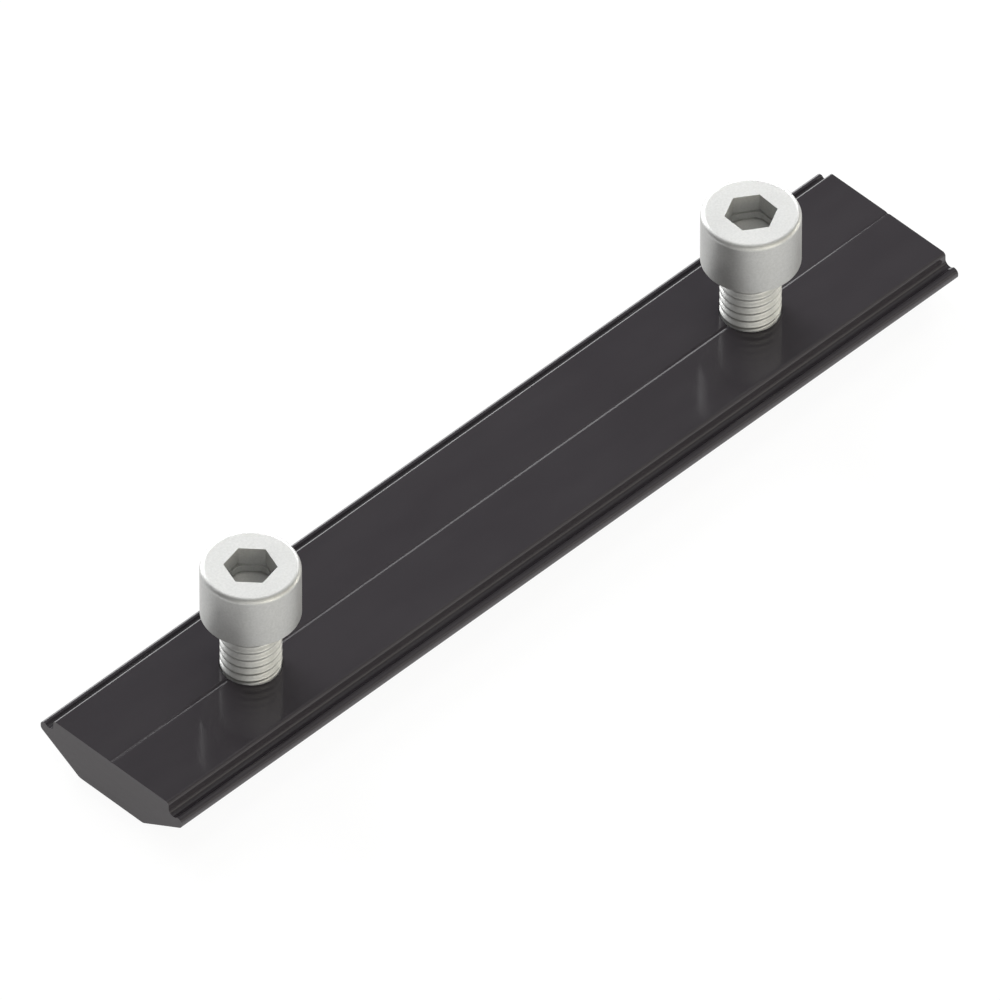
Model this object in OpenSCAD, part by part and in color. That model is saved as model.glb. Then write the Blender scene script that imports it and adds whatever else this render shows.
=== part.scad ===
// Solar rail splice: an extruded keel bar that slides into the ends of two mounting rails,
// with two socket head cap screws that are driven down through it to clamp it there.
// Millimetres. +X runs along the bar, +Z is up, and the origin is the middle of the keel flat.

/* [Bar] */
// Length of the bar
bar_length = 140; // [120:1:300]
// Width over the two side lips
bar_width = 25.4; // [22:0.2:40]
// Height from the keel flat to the top face
bar_height = 6.9; // [5.6:0.1:10]
// Rounding along the land's two top edges
land_edge_radius = 0.5; // [0.2:0.1:1]
// Width of the keel flat, measured to its sharp corners
keel_width = 11.46; // [9:0.02:16]
// Rounding along the keel's two corners
keel_edge_radius = 1; // [0.2:0.1:2]

/* [Drill line] */
// Depth of the V-groove that marks the middle of the top face
drill_line_depth = 0.4; // [0.2:0.05:0.8]
// Width of the V-groove at the top face
drill_line_width = 0.84; // [0.4:0.02:1.6]

/* [Hook grooves and lips] */
// Radius of the round hook groove beside the raised land
hook_radius = 0.8; // [0.5:0.05:1.2]
// Drop from the top face to the bottom of the hook groove
hook_depth = 1.85; // [1.75:0.05:2.6]
// Height of the lip above the bottom of the hook groove
lip_height = 0.33; // [0.1:0.01:0.7]
// Width of the level strip on top of the lip
lip_flat = 0.2; // [0.05:0.05:1]
// Height of the lip's side, from the lip's top to the sharp corner with the keel flank
lip_side = 1.31; // [1.05:0.01:2]
// Rounding of the lip's upper outer edge
lip_nose_radius = 0.65; // [0.3:0.05:0.9]
// Rounding of the lip's lower outer edge
lip_heel_radius = 0.6; // [0.2:0.05:1.1]

/* [Screw holes] */
// Distance from each end of the bar to the nearer screw's axis
screw_inset = 25; // [10:0.5:45]
// Radial running clearance between a screw thread and its hole
thread_clearance = 0.05; // [0.01:0.01:0.1]

/* [Cap screws] */
// Outer diameter of the thread
thread_d = 8; // [6:0.5:10]
// Length of the screw under its head
screw_length = 16; // [12:1:16]
// Chamfer at the screw's tip
tip_chamfer = 0.75; // [0.3:0.05:1.2]
// Diameter of the head
head_d = 13; // [12:0.5:16]
// Height of the head
head_h = 8; // [6.5:0.5:12]
// Rounding of the head's upper edge
head_edge_radius = 1; // [0.3:0.1:1.5]
// Height of the screw tips above the keel flat, clear of what the bar rests on
tip_recess = 0.4; // [0.1:0.1:3]

/* [Key sockets] */
// Size of the hexagon across its flats
socket_af = 6; // [5:0.5:8]
// Depth of the hexagon at its full size
hex_depth = 2.9; // [2:0.1:4.5]
// Step in from each flat, first to the hexagon's lower stretch and then to the drill point
socket_step = 0.1; // [0.05:0.05:0.2]
// Depth of the lower stretch
lower_run = 1.2; // [0.5:0.1:2]
// What the drilled hole took off the lower stretch's corners, measured from its flats
corner_relief = 0.2; // [0.1:0.05:0.3]
// Included angle of the drill point at the socket's bottom
drill_point_angle = 120; // [100:5:150]
// Turn of the left screw's hexagon about its axis
left_turn = 11.6; // [0:0.1:60]
// Turn of the right screw's hexagon about its axis
right_turn = 26.5; // [0:0.1:60]

/* [Hidden] */
// Steps along each rounding of a section
arc_steps = 8;
// Facets that stand for a true circle
round_fn = 64;
// What a cut runs on past the face that it opens through
cut_over = 1;
// Levels of the hook groove's centre, the lip's top and the corner at the flank
groove_z = bar_height - hook_depth + hook_radius;
lip_z = bar_height - hook_depth + lip_height;
flank_z = lip_z - lip_side;
// Direction from the groove's centre to the lip's inner edge
lip_angle = 360 - asin((groove_z - lip_z) / hook_radius);
// Width of the groove and lip together, which leaves the raised land between them
groove_and_lip = hook_radius * (1 + cos(lip_angle)) + lip_flat + lip_nose_radius;
land_width = bar_width - 2 * groove_and_lip;
groove_y = land_width / 2 + hook_radius;
// Slope of the keel flank above the level
flank_angle = atan2(flank_z, (bar_width - keel_width) / 2);
// Direction that the keel flank faces
flank_facing = flank_angle - 90;
// What each rounding takes off the sharp corner under it
heel_setback = lip_heel_radius * tan((90 - flank_angle) / 2);
keel_setback = keel_edge_radius * tan(flank_angle / 2);
// Distance between the two screw axes
screw_spacing = bar_length - 2 * screw_inset;
// Underside of the heads, and radii of the screw and its socket
head_z = tip_recess + screw_length;
head_r = head_d / 2;
thread_r = thread_d / 2;
hole_r = thread_r + thread_clearance;
lower_af = socket_af - 2 * socket_step;
corner_r = lower_af / 2 + corner_relief;
drill_point_r = lower_af / 2 - socket_step;
socket_depth = hex_depth + lower_run;
drill_point_depth = drill_point_r / tan(drill_point_angle / 2);

// Points of an arc about a centre, from one direction to another
function arc(centre, radius, from, to) = [
    for (step = [0:arc_steps])
        let (angle = from + (to - from) * step / arc_steps)
            centre + radius * [cos(angle), sin(angle)]
];

// The same points on the other side of the middle plane, in the opposite order
function mirrored(points) = [
    for (index = [len(points) - 1:-1:0])
        [-points[index][0], points[index][1]]
];

// Outline of the section's right half, from beside the drill line round to the keel flat
function half_section() = concat(
    [[drill_line_width / 2, bar_height]],
    arc([land_width / 2 - land_edge_radius, bar_height - land_edge_radius], land_edge_radius, 90, 0),
    arc([groove_y, groove_z], hook_radius, 180, lip_angle),
    arc([bar_width / 2 - lip_nose_radius, lip_z - lip_nose_radius], lip_nose_radius, 90, 0),
    arc([bar_width / 2 - lip_heel_radius, flank_z + heel_setback], lip_heel_radius, 0, flank_facing),
    arc([keel_width / 2 - keel_setback, keel_edge_radius], keel_edge_radius, flank_facing, -90)
);

// The extruded bar's section, with its drill line, hook grooves, lips and keel
module bar_section() {
    drill_line = [[0, bar_height - drill_line_depth]];
    polygon(concat(drill_line, half_section(), mirrored(half_section())));
}

// The bar, cut to length and drilled for its two screws
module splice_bar() {
    color("#3d3a3e")
        difference() {
            rotate([90, 0, 90])
                linear_extrude(height = bar_length, center = true)
                    bar_section();
            for (side = [-1, 1])
                translate([side * screw_spacing / 2, 0, -cut_over])
                    cylinder(r = hole_r, h = bar_height + 2 * cut_over, $fn = round_fn);
        }
}

// Head and shank turned about the axis, with the head's underside at z = 0
module screw_blank() {
    rotate_extrude($fn = round_fn)
        polygon(concat(
            [
                [0, -screw_length],
                [thread_r - tip_chamfer, -screw_length],
                [thread_r, tip_chamfer - screw_length],
                [thread_r, 0],
                [head_r, 0]
            ],
            arc([head_r - head_edge_radius, head_h - head_edge_radius], head_edge_radius, 0, 90),
            [[0, head_h]]
        ));
}

// A regular hexagon of a size across its flats
module hexagon(across_flats) {
    circle(r = across_flats / 2 / cos(30), $fn = 6);
}

// Key socket: a hexagon, its slightly smaller lower stretch with rounded corners, and the drill point
module key_socket() {
    translate([0, 0, head_h - hex_depth])
        linear_extrude(height = hex_depth + cut_over)
            hexagon(socket_af);
    translate([0, 0, head_h - socket_depth])
        linear_extrude(height = socket_depth)
            intersection() {
                hexagon(lower_af);
                circle(r = corner_r, $fn = round_fn);
            }
    translate([0, 0, head_h - socket_depth - drill_point_depth])
        cylinder(r1 = 0, r2 = drill_point_r, h = drill_point_depth, $fn = round_fn);
}

// One cap screw in its hole; its thread is drawn as a plain shank of the outer diameter
module cap_screw(side, turn) {
    color("#d6d6d2")
        translate([side * screw_spacing / 2, 0, head_z])
            rotate([0, 0, turn])
                difference() {
                    screw_blank();
                    key_socket();
                }
}

module left_cap_screw() {
    cap_screw(-1, left_turn);
}

module right_cap_screw() {
    cap_screw(1, right_turn);
}

splice_bar();
left_cap_screw();
right_cap_screw();
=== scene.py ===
"""Solar rail splice: a black anodised keel bar with two stainless socket head cap screws.

Lengths in the fields are millimetres, apart from those of the lamps and the floor and the
camera's sight, which are metres. Every mesh is in metres, in the part's own frame: +X runs
along the bar, +Z is up, and the origin is the middle of the keel flat.
"""

from __future__ import annotations

import logging
import math
from dataclasses import dataclass
from enum import Enum
from typing import Any, Callable, Iterable, Sequence

import bmesh
import bpy
from mathutils import Matrix, Vector

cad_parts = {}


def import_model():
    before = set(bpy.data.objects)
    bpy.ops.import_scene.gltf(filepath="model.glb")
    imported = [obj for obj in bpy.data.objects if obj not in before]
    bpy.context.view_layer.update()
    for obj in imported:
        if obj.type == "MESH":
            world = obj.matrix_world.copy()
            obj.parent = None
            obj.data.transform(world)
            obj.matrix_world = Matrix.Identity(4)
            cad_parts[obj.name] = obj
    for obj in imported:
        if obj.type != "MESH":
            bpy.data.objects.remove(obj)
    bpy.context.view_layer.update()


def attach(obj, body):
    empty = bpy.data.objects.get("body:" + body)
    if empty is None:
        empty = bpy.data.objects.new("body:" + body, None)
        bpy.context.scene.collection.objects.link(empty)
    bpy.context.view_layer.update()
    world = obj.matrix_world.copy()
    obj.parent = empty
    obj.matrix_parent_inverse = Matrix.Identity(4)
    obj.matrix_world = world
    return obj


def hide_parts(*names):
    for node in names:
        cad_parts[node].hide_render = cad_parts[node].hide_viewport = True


LOG = logging.getLogger("rail_splice")
MM = 0.001
MERGE = 1e-7  # metres, vertices closer than this are one
HAIR = 1e-3  # mm, the least height that tells a face from the plane beside it
FACING = 0.9  # the least cosine of a face that looks along an axis
SHARP_ANGLE = math.radians(32)
ROUND_PROFILE = 0.5  # the bevel profile of a circular arc
CIRCLE_START = 90  # degrees from +X to a new circle's first vertex
HEX_SIDES = 6
HALF_SIDE = math.pi / HEX_SIDES  # angle from the middle of a hexagon's side to its corner
X_AXIS, Z_AXIS = Vector((1, 0, 0)), Vector((0, 0, 1))
MIDDLE_NOISE = (0.3, 0.7)  # the range in which most of a noise pattern's values lie
NOISE_ROUGHNESS = 0.55
NOISE_DETAIL, FINE_DETAIL = 2.0, 3.0
GLASSY_IOR = 1.5  # refraction of the anodised layer

Mesh = bmesh.types.BMesh
Vert = bmesh.types.BMVert
Edges = list[bmesh.types.BMEdge]
Socket = bpy.types.NodeSocket
Inputs = dict[str | int, Any]
Span = tuple[float, float]
Scale = tuple[float, float, float]
Colour = tuple[float, float, float]
EVEN: Scale = (1, 1, 1)
WHITE: Colour = (1.0, 1.0, 1.0)
WARM: Colour = (1.0, 0.975, 0.85)
COOL: Colour = (0.985, 0.995, 1.0)


class Body(Enum):
    """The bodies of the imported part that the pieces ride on."""

    BAR = "bar"
    LEFT_SCREW = "left_screw"
    RIGHT_SCREW = "right_screw"


class Slot(Enum):
    """The record's material slots."""

    BLACK_ANODISED = "black_anodised"
    STAINLESS = "stainless"


class Area(Enum):
    """The areas of a screw that have their own materials, by their places in its list of
    finishes; the socket's material carries painted light.
    """

    HEAD = 0
    THREAD = 1
    SOCKET = 2


# --- mesh helpers -----------------------------------------------------------


def point(x: float, y: float, z: float) -> Vector:
    """A point given in millimetres, in metres."""
    return Vector((x, y, z)) * MM


def direction(azimuth: float, elevation: float) -> Vector:
    """The way out from the object, by degrees round from the front and degrees up."""
    turn, rise = math.radians(azimuth), math.radians(elevation)
    level = math.cos(rise)
    return Vector((math.sin(turn) * level, -math.cos(turn) * level, math.sin(rise)))


def verts_of(items: Iterable[Any]) -> list[Vert]:
    """The vertices among some bmesh elements."""
    return [item for item in items if isinstance(item, Vert)]


def edges_of(items: Iterable[Any]) -> Edges:
    """The edges among some bmesh elements."""
    return [item for item in items if isinstance(item, bmesh.types.BMEdge)]


def ends_of(edges: Edges) -> list[Vert]:
    """The vertices at the ends of some edges, each once."""
    return list(dict.fromkeys(vert for edge in edges for vert in edge.verts))


def extrude_loop(bm: Mesh, edges: Edges, step: Vector) -> Edges:
    """Draws a wall from a loop of edges.

    Args:
        bm: The mesh.
        edges: The loop.
        step: How far and which way the wall runs.

    Returns:
        The loop at the wall's other end.
    """
    made = bmesh.ops.extrude_edge_only(bm, edges=edges)["geom"]
    bmesh.ops.translate(bm, verts=verts_of(made), vec=step)
    return edges_of(made)


def fill_between(bm: Mesh, one: Edges, other: Edges) -> None:
    """Closes the flat ring between two loops."""
    bmesh.ops.triangle_fill(bm, use_beauty=True, use_dissolve=False, edges=[*one, *other])


def ring(bm: Mesh, radius: float, level: float, segments: int, turn: float = 0.0) -> Edges:
    """Draws a circle, or a regular polygon, about the Z axis.

    Args:
        bm: The mesh.
        radius: Radius to its corners, in mm.
        level: Height, in mm.
        segments: Number of edges.
        turn: Direction of the first corner, in degrees from +X.

    Returns:
        Its edges.
    """
    turned = Matrix.Rotation(math.radians(turn - CIRCLE_START), 4, "Z")
    made = bmesh.ops.create_circle(
        bm,
        cap_ends=False,
        segments=segments,
        radius=radius * MM,
        matrix=Matrix.Translation(point(0, 0, level)) @ turned,
    )
    return list(dict.fromkeys(edge for vert in made["verts"] for edge in vert.link_edges))


def bevel(
    bm: Mesh, items: Sequence[Any], offset: float, segments: int, affect: str = "EDGES"
) -> None:
    """Rounds edges or corners with a circular profile.

    Args:
        bm: The mesh.
        items: The edges or vertices.
        offset: Set-back along the neighbouring edges, in mm.
        segments: Steps along the rounding.
        affect: "EDGES" or "VERTICES".
    """
    bmesh.ops.bevel(
        bm,
        geom=list(items),
        offset=offset * MM,
        offset_type="OFFSET",
        segments=segments,
        profile=ROUND_PROFILE,
        affect=affect,
        material=-1,
    )


def pull_in(verts: Iterable[Vert], limit: Callable[[Vert], float]) -> None:
    """Moves vertices that lie too far from the Z axis in to a limit.

    Args:
        verts: The vertices.
        limit: The greatest radius of each, in mm.
    """
    for vert in verts:
        room, reach = limit(vert) * MM, vert.co.xy.length
        if reach > room:
            vert.co.xy *= room / reach


def to_object(bm: Mesh, name: str) -> bpy.types.Object:
    """Turns a bmesh into a scene object, with its doubles merged and its faces outwards.

    Args:
        bm: The mesh, which is freed.
        name: The object's name.

    Returns:
        The object, at the origin.
    """
    bmesh.ops.remove_doubles(bm, verts=bm.verts[:], dist=MERGE)
    bmesh.ops.recalc_face_normals(bm, faces=bm.faces[:])
    mesh = bpy.data.meshes.new(name)
    bm.to_mesh(mesh)
    bm.free()
    obj = bpy.data.objects.new(name, mesh)
    bpy.context.scene.collection.objects.link(obj)
    return obj


def smooth_faces(obj: bpy.types.Object) -> None:
    """Shades an object smooth across its roundings, with the flats kept flat."""
    obj.data.shade_smooth()
    obj.data.set_sharp_from_angle(angle=SHARP_ANGLE)
    flats = obj.modifiers.new("flats", "WEIGHTED_NORMAL")
    flats.keep_sharp = True


def cut(obj: bpy.types.Object, cutters: Sequence[bpy.types.Object]) -> None:
    """Subtracts solids from an object and removes them.

    Args:
        obj: The object, whose mesh is replaced.
        cutters: The solids.
    """
    for cutter in cutters:
        hole = obj.modifiers.new("hole", "BOOLEAN")
        hole.operation = "DIFFERENCE"
        hole.solver = "EXACT"
        hole.object = cutter
    depsgraph = bpy.context.evaluated_depsgraph_get()
    mesh = bpy.data.meshes.new_from_object(obj.evaluated_get(depsgraph))
    mesh.name = obj.name
    obj.modifiers.clear()
    obj.data = mesh
    for cutter in cutters:
        bpy.data.objects.remove(cutter)


# --- finishes ---------------------------------------------------------------


class ShaderGraph:
    """A material's node tree around its Principled shader."""

    def __init__(self, name: str) -> None:
        """Starts a material with a Principled shader."""
        self.material = bpy.data.materials.new(name)
        self.material.use_nodes = True
        self.tree = self.material.node_tree
        self.shader = next(n for n in self.tree.nodes if n.type == "BSDF_PRINCIPLED")
        self.output = next(n for n in self.tree.nodes if n.type == "OUTPUT_MATERIAL")

    def add(self, kind: str, inputs: Inputs | None = None, **settings: Any) -> bpy.types.Node:
        """Adds a node.

        Args:
            kind: The node's type, without its ShaderNode prefix.
            inputs: Values or output sockets for its inputs.
            settings: Its properties.

        Returns:
            The node.
        """
        node = self.tree.nodes.new("ShaderNode" + kind)
        for key, value in settings.items():
            setattr(node, key, value)
        self.feed(node, inputs or {})
        return node

    def feed(self, node: bpy.types.Node, inputs: Inputs) -> None:
        """Sets or links a node's inputs by their names or places."""
        for key, value in inputs.items():
            socket = node.inputs[key]
            if isinstance(value, Socket):
                self.tree.links.new(value, socket)
            else:
                socket.default_value = value

    def place(self, scale: Scale, turn: Sequence[float] = (0, 0, 0)) -> Socket:
        """The object's own coordinates, scaled and turned for a pattern."""
        own = self.add("TexCoord").outputs["Object"]
        mapping = self.add("Mapping", {"Vector": own, "Scale": scale, "Rotation": turn})
        return mapping.outputs["Vector"]

    def noise(self, vector: Socket, scale: float, detail: float) -> Socket:
        """A noise pattern's factor."""
        grade = {"Scale": scale, "Detail": detail, "Roughness": NOISE_ROUGHNESS}
        return self.add("TexNoise", {"Vector": vector, **grade}).outputs["Fac"]

    def spread(self, factor: Socket, low: float, high: float) -> Socket:
        """A noise factor's middle range, mapped to a span of values."""
        least, most = MIDDLE_NOISE
        span = {"From Min": least, "From Max": most, "To Min": low, "To Max": high}
        return self.add("MapRange", {"Value": factor, **span}).outputs["Result"]

    def tint(self, factor: Socket, dark: Colour, light: Colour) -> Socket:
        """A colour between two others, by a noise factor's middle range."""
        ramp = self.add("ValToRGB", {"Fac": factor})
        for stop, place, colour in zip(ramp.color_ramp.elements, MIDDLE_NOISE, (dark, light)):
            stop.position, stop.color = place, (*colour, 1)
        return ramp.outputs["Color"]

    def bump(self, height: Socket, depth: float) -> Socket:
        """A normal bumped by a pattern that is some mm high."""
        relief = {"Height": height, "Distance": depth * MM, "Strength": 1.0}
        return self.add("Bump", relief).outputs["Normal"]


@dataclass(frozen=True)
class AnodisedFinish:
    """Black anodising over the die lines of an extrusion."""

    name: str = "black_anodised"
    dark: Colour = (0.0365, 0.0325, 0.0375)
    light: Colour = (0.0405, 0.0365, 0.0415)
    gloss: Span = (0.09, 0.13)
    line_scale: Scale = (6, 1500, 1500)
    line_depth: float = 0.00012
    cloud_scale: Scale = (60, 160, 160)

    def material(self) -> bpy.types.Material:
        """Makes the finish."""
        graph = ShaderGraph(self.name)
        lines = graph.noise(graph.place(self.line_scale), 1.0, FINE_DETAIL)
        clouds = graph.noise(graph.place(self.cloud_scale), 1.0, NOISE_DETAIL)
        graph.feed(
            graph.shader,
            {
                "Base Color": graph.tint(clouds, self.dark, self.light),
                "Roughness": graph.spread(clouds, *self.gloss),
                "Normal": graph.bump(lines, self.line_depth),
                "IOR": GLASSY_IOR,
            },
        )
        return graph.material


@dataclass(frozen=True)
class SawnMarksAndShade:
    """Black anodising over a sawn end: real saw marks, with painted shade in its colours."""

    name: str = "black_anodised_sawn_end_painted_shade"
    # Darker and more purple than the top's colours: painted shade, set for how the lamps light
    # the end faces.
    dark: Colour = (0.0280, 0.0213, 0.0257)
    light: Colour = (0.0310, 0.0243, 0.0287)
    gloss: Span = (0.30, 0.36)
    mark_scale: Scale = (900, 120, 2600)
    mark_slope: float = 14
    mark_depth: float = 0.0008
    grain_scale: float = 2400

    def material(self) -> bpy.types.Material:
        """Makes the finish."""
        graph = ShaderGraph(self.name)
        sloped = graph.place(self.mark_scale, (math.radians(self.mark_slope), 0, 0))
        marks = graph.noise(sloped, 1.0, NOISE_DETAIL)
        grain = graph.noise(graph.place(EVEN), self.grain_scale, NOISE_DETAIL)
        graph.feed(
            graph.shader,
            {
                "Base Color": graph.tint(grain, self.dark, self.light),
                "Roughness": graph.spread(marks, *self.gloss),
                "Normal": graph.bump(marks, self.mark_depth),
                "IOR": GLASSY_IOR,
            },
        )
        return graph.material


@dataclass(frozen=True)
class StainlessFinish:
    """Satin stainless steel with a very fine grain."""

    name: str
    dark: Colour = (0.48, 0.48, 0.47)
    light: Colour = (0.54, 0.54, 0.53)
    gloss: Span = (0.46, 0.54)
    grain_scale: float = 3200
    grain_depth: float = 0.002
    cloud_scale: float = 260

    def material(self) -> bpy.types.Material:
        """Makes the finish."""
        graph = ShaderGraph(self.name)
        grain = graph.noise(graph.place(EVEN), self.grain_scale, NOISE_DETAIL)
        clouds = graph.noise(graph.place(EVEN), self.cloud_scale, FINE_DETAIL)
        graph.feed(
            graph.shader,
            {
                "Base Color": graph.tint(grain, self.dark, self.light),
                "Roughness": graph.spread(clouds, *self.gloss),
                "Normal": graph.bump(grain, self.grain_depth),
                "Metallic": 1.0,
            },
        )
        return graph.material


# --- the object -------------------------------------------------------------


@dataclass
class SpliceBar:
    """The extruded bar with its drill line, hook grooves, lips and keel. Sizes in mm."""

    finish: AnodisedFinish = AnodisedFinish()
    # The ends' material: real saw marks, with painted shade in its colours.
    end_marks_and_shade: SawnMarksAndShade = SawnMarksAndShade()
    name: str = "anodised_splice_bar"
    node: str = "splice_bar"
    length: float = 140
    width: float = 25.4
    height: float = 6.9
    keel_width: float = 11.46
    keel_edge: float = 1
    land_edge: float = 0.5
    line_depth: float = 0.124
    line_width: float = 0.84
    hook_radius: float = 0.8
    hook_depth: float = 1.85
    lip_height: float = 0.33
    lip_flat: float = 0.2
    lip_side: float = 1.31
    lip_nose: float = 0.65
    lip_heel: float = 0.6
    screw_inset: float = 25
    hole_radius: float = 4.05
    hole_segments: int = 96
    groove_steps: int = 22
    edge_steps: int = 10

    def _corner(self, bm: Mesh, y: float, z: float) -> Vert:
        """Adds a corner of the section in the plane of the bar's near end."""
        return bmesh.ops.create_vert(bm, co=point(-self.length / 2, y, z))["vert"][0]

    def _half_section(self, bm: Mesh) -> None:
        """Draws the section's outline on the +Y side, from the drill line to the keel flat.

        Args:
            bm: The mesh.
        """
        top, side = self.height, self.width / 2
        bottom = top - self.hook_depth
        groove_z, lip_z = bottom + self.hook_radius, bottom + self.lip_height
        flank_z = lip_z - self.lip_side
        rise = math.asin((groove_z - lip_z) / self.hook_radius)
        land = side - self.hook_radius * (1 + math.cos(rise)) - self.lip_flat - self.lip_nose
        slope = math.atan2(flank_z, (self.width - self.keel_width) / 2)

        groove_start = self._corner(bm, land, groove_z)
        made = bmesh.ops.spin(
            bm,
            geom=[groove_start],
            cent=point(0, land + self.hook_radius, groove_z),
            axis=X_AXIS,
            angle=math.pi - rise,
            steps=self.groove_steps,
        )
        lip_edge = verts_of(made["geom_last"])[0]
        land_corner = self._corner(bm, land, top)
        nose = self._corner(bm, side, lip_z)
        heel = self._corner(bm, side, flank_z)
        keel = self._corner(bm, self.keel_width / 2, 0)
        line_bottom = self._corner(bm, 0, top - self.line_depth)
        line_edge = self._corner(bm, self.line_width / 2, top)
        for chain in (
            (line_bottom, line_edge, land_corner, groove_start),
            (lip_edge, nose, heel, keel, self._corner(bm, 0, 0)),
        ):
            for pair in zip(chain, chain[1:]):
                bm.edges.new(pair)
        for corner, offset in (
            (land_corner, self.land_edge),
            (nose, self.lip_nose),
            (heel, self.lip_heel * math.tan((math.pi / 2 - slope) / 2)),
            (keel, self.keel_edge * math.tan(slope / 2)),
        ):
            bevel(bm, [corner], offset, self.edge_steps, "VERTICES")

    def _hole_cutter(self, side: int) -> bpy.types.Object:
        """Makes the solid that drills one screw hole, on the -X side for -1 or +X for 1."""
        bm = bmesh.new()
        middle = point(side * (self.length / 2 - self.screw_inset), 0, self.height / 2)
        bmesh.ops.create_cone(
            bm,
            cap_ends=True,
            segments=self.hole_segments,
            radius1=self.hole_radius * MM,
            radius2=self.hole_radius * MM,
            depth=2 * self.height * MM,
            matrix=Matrix.Translation(middle),
        )
        return to_object(bm, "drill")

    def _is_end(self, face: bpy.types.MeshPolygon) -> bool:
        """Says whether a face lies in one of the two sawn ends."""
        at_end = abs(face.center.x) > (self.length / 2 - HAIR) * MM
        return at_end and abs(face.normal.x) > FACING

    def build(self) -> bpy.types.Object:
        """Extrudes the section, drills it and dresses it.

        Returns:
            The bar.
        """
        bm = bmesh.new()
        self._half_section(bm)
        bmesh.ops.mirror(
            bm,
            geom=bm.verts[:] + bm.edges[:],
            matrix=Matrix.Identity(4),
            merge_dist=MERGE,
            axis="Y",
        )
        bmesh.ops.remove_doubles(bm, verts=bm.verts[:], dist=MERGE)
        bmesh.ops.contextual_create(bm, geom=bm.edges[:])
        made = bmesh.ops.extrude_face_region(bm, geom=bm.faces[:], use_keep_orig=True)
        bmesh.ops.translate(bm, verts=verts_of(made["geom"]), vec=point(self.length, 0, 0))
        bar = to_object(bm, self.name)
        bar.data.materials.append(self.finish.material())
        bar.data.materials.append(self.end_marks_and_shade.material())
        cut(bar, [self._hole_cutter(side) for side in (-1, 1)])
        for face in bar.data.polygons:
            face.material_index = int(self._is_end(face))
        smooth_faces(bar)
        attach(bar, Body.BAR.value)
        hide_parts(self.node)
        return bar


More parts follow.
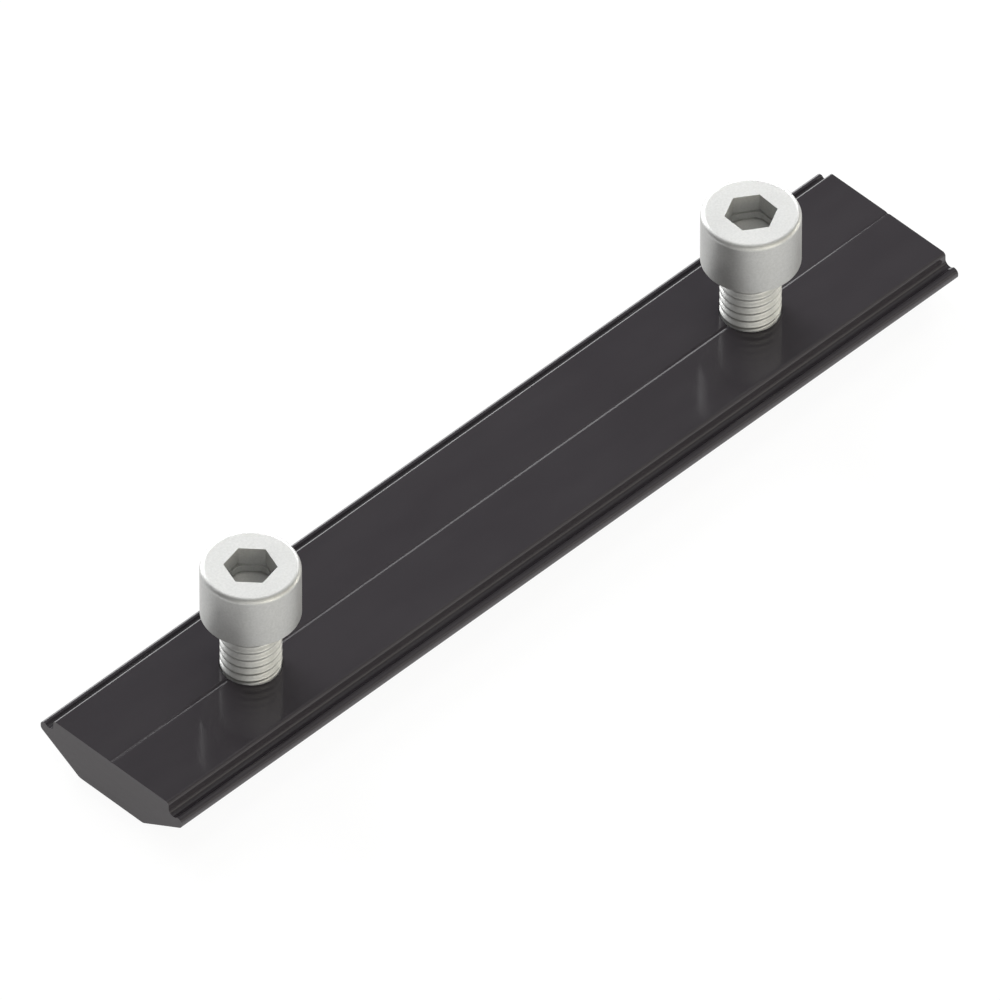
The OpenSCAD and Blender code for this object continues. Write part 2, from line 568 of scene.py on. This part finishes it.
@dataclass
class CapScrew:
    """A socket head cap screw in its hole, threaded up to its head. Sizes in mm."""

    name: str
    node: str
    body: Body
    finishes: tuple[bpy.types.Material, ...]
    axis_x: float
    turn: float
    thread_diameter: float = 8
    thread_depth: float = 0.42
    pitch: float = 1.25
    length: float = 16
    tip_chamfer: float = 0.75
    tip_level: float = 0.4
    head_diameter: float = 13
    head_height: float = 8
    head_edge: float = 0.7
    flat_margin: float = 0.12
    socket_flats: float = 6
    hex_depth: float = 2.9
    socket_step: float = 0.1
    lower_run: float = 1.2
    corner_relief: float = 0.2
    foot_depth: float = 0.22
    foot_height: float = 0.34
    point_angle: float = 120
    thread_phase: float = 0.1
    lead_turns: int = 2
    spare_turns: int = 1
    thread_steps: int = 18
    edge_steps: int = 12
    corner_steps: int = 6
    segments: int = 96

    @property
    def head_level(self) -> float:
        """Height of the head's underside."""
        return self.tip_level + self.length

    @property
    def top_level(self) -> float:
        """Height of the head's top face."""
        return self.head_level + self.head_height

    def _thread(self, bm: Mesh) -> Edges:
        """Winds the thread from the tip to the head and closes the tip.

        Args:
            bm: The mesh.

        Returns:
            The loop where the thread meets the head's underside.
        """
        radius = self.thread_diameter / 2
        turns = math.ceil(self.length / self.pitch) + self.lead_turns + self.spare_turns
        low = self.tip_level + (self.thread_phase - self.lead_turns) * self.pitch
        profile = []
        for step in range(turns * self.thread_steps + 1):
            along = step / self.thread_steps
            depth = self.thread_depth * math.sin(math.pi * along) ** 2
            place = point(radius - depth, 0, low + along * self.pitch)
            profile += bmesh.ops.create_vert(bm, co=place)["vert"]
        edges = [bm.edges.new(pair) for pair in zip(profile, profile[1:])]
        # The last profile lies one pitch above the first, so the two are merged as doubles.
        bmesh.ops.spin(
            bm,
            geom=profile + edges,
            cent=(0, 0, 0),
            axis=Z_AXIS,
            dvec=point(0, 0, self.pitch / self.segments),
            angle=2 * math.pi,
            steps=self.segments,
        )
        bmesh.ops.remove_doubles(bm, verts=bm.verts[:], dist=MERGE)
        for level, side in ((self.head_level, 1), (self.tip_level, -1)):
            bmesh.ops.bisect_plane(
                bm,
                geom=bm.verts[:] + bm.edges[:] + bm.faces[:],
                dist=MERGE,
                plane_co=point(0, 0, level),
                plane_no=(0, 0, side),
                clear_outer=True,
            )
        blunt = radius - self.tip_chamfer
        pull_in(bm.verts, lambda vert: blunt + vert.co.z / MM - self.tip_level)
        ends = [edge for edge in bm.edges if edge.is_boundary]
        middle = (self.tip_level + self.length / 2) * MM
        tip = [edge for edge in ends if edge.verts[0].co.z < middle]
        bmesh.ops.contextual_create(bm, geom=tip)
        return [edge for edge in ends if edge.verts[0].co.z > middle]

    def _is_lid(self, face: bmesh.types.BMFace) -> bool:
        """Says whether a face is the disc that closes the head until its socket is cut."""
        level = face.calc_center_median().z
        return len(face.verts) == self.segments and level > (self.top_level - HAIR) * MM

    def _head(self, bm: Mesh, neck: Edges) -> None:
        """Turns the head, with its key socket, on top of the thread.

        Args:
            bm: The mesh.
            neck: The thread's upper loop.
        """
        rim = ring(bm, self.head_diameter / 2, self.head_level, self.segments)
        fill_between(bm, neck, rim)
        brow = extrude_loop(bm, rim, point(0, 0, self.head_height))
        bmesh.ops.contextual_create(bm, geom=brow)
        bevel(bm, brow, self.head_edge, self.edge_steps)
        lid = [face for face in bm.faces if self._is_lid(face)]
        margin = self.flat_margin * MM
        bmesh.ops.inset_region(bm, faces=lid, thickness=margin, use_even_offset=True)
        collar = list(lid[0].edges)
        bmesh.ops.delete(bm, geom=lid, context="FACES_ONLY")
        self._socket(bm, collar)

    def _socket(self, bm: Mesh, collar: Edges) -> None:
        """Cuts the key socket: a hexagon, its lower stretch and the drill point.

        Args:
            bm: The mesh.
            collar: The loop in the head's top face that the socket opens within.
        """
        top, half = self.top_level, self.socket_flats / 2
        hexagon = ring(bm, half / math.cos(HALF_SIDE), top, HEX_SIDES, self.turn)
        fill_between(bm, collar, hexagon)
        foot = self._undercut(bm, hexagon, self.hex_depth)
        lower = self._lower_hexagon(bm, top - self.hex_depth)
        fill_between(bm, foot, lower)
        foot = self._undercut(bm, lower, self.lower_run)
        depth = self.hex_depth + self.lower_run
        radius = half - 2 * self.socket_step
        mouth = ring(bm, radius, top - depth, self.segments)
        fill_between(bm, foot, mouth)
        depth += radius / math.tan(math.radians(self.point_angle / 2))
        apex = extrude_loop(bm, mouth, Vector())
        bmesh.ops.pointmerge(bm, verts=ends_of(apex), merge_co=point(0, 0, top - depth))

    def _undercut(self, bm: Mesh, loop: Edges, depth: float) -> Edges:
        """Draws a socket wall down to the fine groove where the broach broke off its chips.

        Args:
            bm: The mesh.
            loop: The wall's upper edges.
            depth: How far down the foot lies, in mm.

        Returns:
            The groove's lower edges.
        """
        wall = extrude_loop(bm, loop, point(0, 0, self.foot_height - depth))
        step = extrude_loop(bm, wall, Vector())
        grow = 1 + 2 * self.foot_depth / self.socket_flats
        bmesh.ops.scale(bm, verts=ends_of(step), vec=(grow, grow, 1))
        return extrude_loop(bm, step, point(0, 0, -self.foot_height))

    def _lower_hexagon(self, bm: Mesh, level: float) -> Edges:
        """Draws the socket's smaller lower hexagon, whose corners the drilled hole rounded.

        Args:
            bm: The mesh.
            level: Height, in mm.

        Returns:
            Its edges.
        """
        flat = self.socket_flats / 2 - self.socket_step
        limit = flat + self.corner_relief
        before = set(bm.edges)
        outline = ring(bm, flat / math.cos(HALF_SIDE), level, HEX_SIDES, self.turn)
        set_back = flat * math.tan(HALF_SIDE) - math.sqrt(limit**2 - flat**2)
        bevel(bm, ends_of(outline), set_back, self.corner_steps, "VERTICES")
        edges = [edge for edge in bm.edges if edge not in before]
        pull_in(ends_of(edges), lambda vert: limit)
        return edges

    def _area(self, place: Vector) -> Area:
        """Says which area of the screw a face belongs to.

        Args:
            place: The face's centre.

        Returns:
            The area.
        """
        height = place.z / MM - self.head_level
        reach = math.hypot(place.x / MM - self.axis_x, place.y / MM)
        if height < -HAIR:
            return Area.THREAD
        in_head = HAIR < height < self.head_height - HAIR
        return Area.SOCKET if in_head and reach < self.thread_diameter / 2 else Area.HEAD

    def build(self) -> bpy.types.Object:
        """Models the screw about the Z axis, sets it in its hole and dresses it.

        Returns:
            The screw.
        """
        bm = bmesh.new()
        self._head(bm, self._thread(bm))
        bmesh.ops.translate(bm, verts=bm.verts[:], vec=point(self.axis_x, 0, 0))
        screw = to_object(bm, self.name)
        for finish in self.finishes:
            screw.data.materials.append(finish)
        for face in screw.data.polygons:
            face.material_index = self._area(face.center).value
        smooth_faces(screw)
        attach(screw, self.body.value)
        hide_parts(self.node)
        return screw


# --- the studio -------------------------------------------------------------


@dataclass(frozen=True)
class SoftBox:
    """A square lamp that faces the object. Angles in degrees, size and distance in metres."""

    name: str
    azimuth: float
    elevation: float
    size: float
    level: float
    colour: Colour = WHITE
    distance: float = 1.2

    def build(self, target: Vector) -> None:
        """Hangs the lamp.

        Args:
            target: The point that it faces.
        """
        lamp = bpy.data.lights.new(self.name, "AREA")
        lamp.shape = "SQUARE"
        lamp.size = self.size
        lamp.energy = self.level * math.pi * self.size**2
        lamp.color = self.colour
        way = direction(self.azimuth, self.elevation)
        obj = bpy.data.objects.new(self.name, lamp)
        obj.visible_camera = False
        obj.location = target + way * self.distance
        obj.rotation_euler = way.to_track_quat("Z", "Y").to_euler()
        bpy.context.scene.collection.objects.link(obj)


@dataclass
class Studio:
    """Floor, room, lamps and camera. Lengths in mm, but floor_size and sight in metres."""

    azimuth: float = -45
    elevation: float = 45
    lens: float = 1600
    sensor: float = 36
    frame_width: float = 127.42
    aim_right: float = -0.225
    aim_up: float = -1.83
    top_level: float = 6.9
    sight: float = 100
    floor_size: float = 8.0
    floor_colour: Colour = (0.82, 0.82, 0.82)
    floor_glow: float = 0.92
    floor_shade: float = 0.10
    horizon: Span = (0.49, 0.51)
    sky: float = 0.17
    lamps: tuple[SoftBox, ...] = (
        SoftBox("right_key", 8, 52, 0.7, 1.3, WARM),
        SoftBox("right_fill", 75, 48, 0.6, 0.3),
        SoftBox("right_side", 30, 22, 0.4, 0.9, WARM),
        SoftBox("front_low", 356, 11, 0.45, 6.8, WARM),
        SoftBox("right_low", 62, 8, 0.4, 6.8, WARM),
        SoftBox("back_left", 166, 33, 0.5, 9.3, COOL),
        SoftBox("back_right", 104, 33, 0.5, 3.2, COOL),
        SoftBox("left_low", 182, 11, 0.4, 12.0, COOL),
        SoftBox("left_fill", 206, 36, 0.5, 0.4, COOL),
        SoftBox("behind", 125, 13, 0.4, 15.0, COOL),
        SoftBox("behind_left", 150, 10, 0.35, 4.6, COOL),
        SoftBox("camera_side", 318, 14, 0.5, 1.2, WARM),
        SoftBox("front_fill", 315, 35, 0.6, 1.5),
        SoftBox("overhead", 135, 76, 0.6, 1.6),
    )

    def _camera(self) -> None:
        """Sets the camera at the photograph's viewing angle, far off with a long lens."""
        back = direction(self.azimuth, self.elevation)
        facing = (-back).to_track_quat("-Z", "Y")
        target = point(0, 0, self.top_level) + facing @ point(self.aim_right, self.aim_up, 0)
        data = bpy.data.cameras.new("camera")
        data.type = "PERSP"
        data.lens, data.sensor_width = self.lens, self.sensor
        data.clip_end = self.sight
        camera = bpy.data.objects.new("camera", data)
        camera.location = target + back * (self.frame_width * MM * self.lens / self.sensor)
        camera.rotation_mode = "QUATERNION"
        camera.rotation_quaternion = facing
        bpy.context.scene.collection.objects.link(camera)
        bpy.context.scene.camera = camera

    def _floor(self) -> None:
        """Lays a pale floor that looks white to the camera and to reflections, with a shadow."""
        bm = bmesh.new()
        bmesh.ops.create_grid(bm, x_segments=1, y_segments=1, size=self.floor_size / 2)
        floor = to_object(bm, "floor")
        graph = ShaderGraph("pale_floor")
        rays = graph.add("LightPath").outputs
        either = {0: rays["Is Camera Ray"], 1: rays["Is Glossy Ray"]}
        seen = graph.add("Math", either, operation="MAXIMUM")
        either = {0: seen.outputs[0], 1: rays["Is Transmission Ray"]}
        seen = graph.add("Math", either, operation="MAXIMUM")
        plain = graph.add("BsdfDiffuse", {"Color": (*self.floor_colour, 1)})
        shade = graph.add("BsdfDiffuse", {"Color": (*(self.floor_shade,) * 3, 1)})
        glow = graph.add("Emission", {"Color": (*WHITE, 1), "Strength": self.floor_glow})
        white = graph.add("AddShader", {0: shade.outputs[0], 1: glow.outputs[0]})
        choice = {"Fac": seen.outputs[0], 1: plain.outputs[0], 2: white.outputs[0]}
        mixed = graph.add("MixShader", choice)
        graph.feed(graph.output, {"Surface": mixed.outputs[0]})
        graph.tree.nodes.remove(graph.shader)
        floor.data.materials.append(graph.material)

    def _world(self) -> None:
        """Makes the room: white below the horizon and dim grey above it."""
        world = bpy.data.worlds.new("room")
        bpy.context.scene.world = world
        world.use_nodes = True
        tree = world.node_tree
        room = next(node for node in tree.nodes if node.type == "BACKGROUND")
        coords = tree.nodes.new("ShaderNodeTexCoord")
        split = tree.nodes.new("ShaderNodeSeparateXYZ")
        tree.links.new(coords.outputs["Generated"], split.inputs[0])
        spread = tree.nodes.new("ShaderNodeMapRange")
        spread.inputs["From Min"].default_value = -1
        tree.links.new(split.outputs["Z"], spread.inputs["Value"])
        ramp = tree.nodes.new("ShaderNodeValToRGB")
        tree.links.new(spread.outputs["Result"], ramp.inputs["Fac"])
        for stop, place, level in zip(ramp.color_ramp.elements, self.horizon, (1, self.sky)):
            stop.position, stop.color = place, (level, level, level, 1)
        tree.links.new(ramp.outputs["Color"], room.inputs["Color"])
        room.inputs["Strength"].default_value = 1.0

    def build(self) -> None:
        """Sets up the whole studio."""
        self._camera()
        self._floor()
        self._world()
        for lamp in self.lamps:
            lamp.build(point(0, 0, self.top_level))
        bpy.context.scene.view_settings.view_transform = "Standard"


def steel_finishes() -> tuple[bpy.types.Material, ...]:
    """Makes the screws' finishes, in the order of their areas; the socket's lighter colour is
    painted light.
    """
    thread = StainlessFinish(
        name="rolled_stainless_thread",
        dark=(0.49, 0.49, 0.48),
        light=(0.55, 0.55, 0.54),
        gloss=(0.54, 0.60),
    )
    # The socket's base colour is lighter than the head's: painted light that lifts the shade
    # inside the recess.
    socket = StainlessFinish(
        name="stainless_socket_painted_light",
        dark=(0.55, 0.55, 0.54),
        light=(0.61, 0.61, 0.60),
        gloss=(0.62, 0.68),
    )
    finishes = (StainlessFinish("satin_stainless_head"), thread, socket)
    return tuple(finish.material() for finish in finishes)


def main() -> None:
    """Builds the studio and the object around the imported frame."""
    logging.basicConfig(level=logging.INFO, format="%(name)s: %(message)s")
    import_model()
    Studio().build()
    steel = steel_finishes()
    pieces = [
        SpliceBar(),
        CapScrew(
            name="stainless_left_cap_screw",
            node="left_cap_screw",
            body=Body.LEFT_SCREW,
            finishes=steel,
            axis_x=-45,
            turn=11.6,
        ),
        CapScrew(
            name="stainless_right_cap_screw",
            node="right_cap_screw",
            body=Body.RIGHT_SCREW,
            finishes=steel,
            axis_x=45,
            turn=26.5,
        ),
    ]
    for piece in pieces:
        made = piece.build()
        vertices, faces = len(made.data.vertices), len(made.data.polygons)
        LOG.info("%s: %d vertices, %d faces", made.name, vertices, faces)


if __name__ == "__main__":
    main()
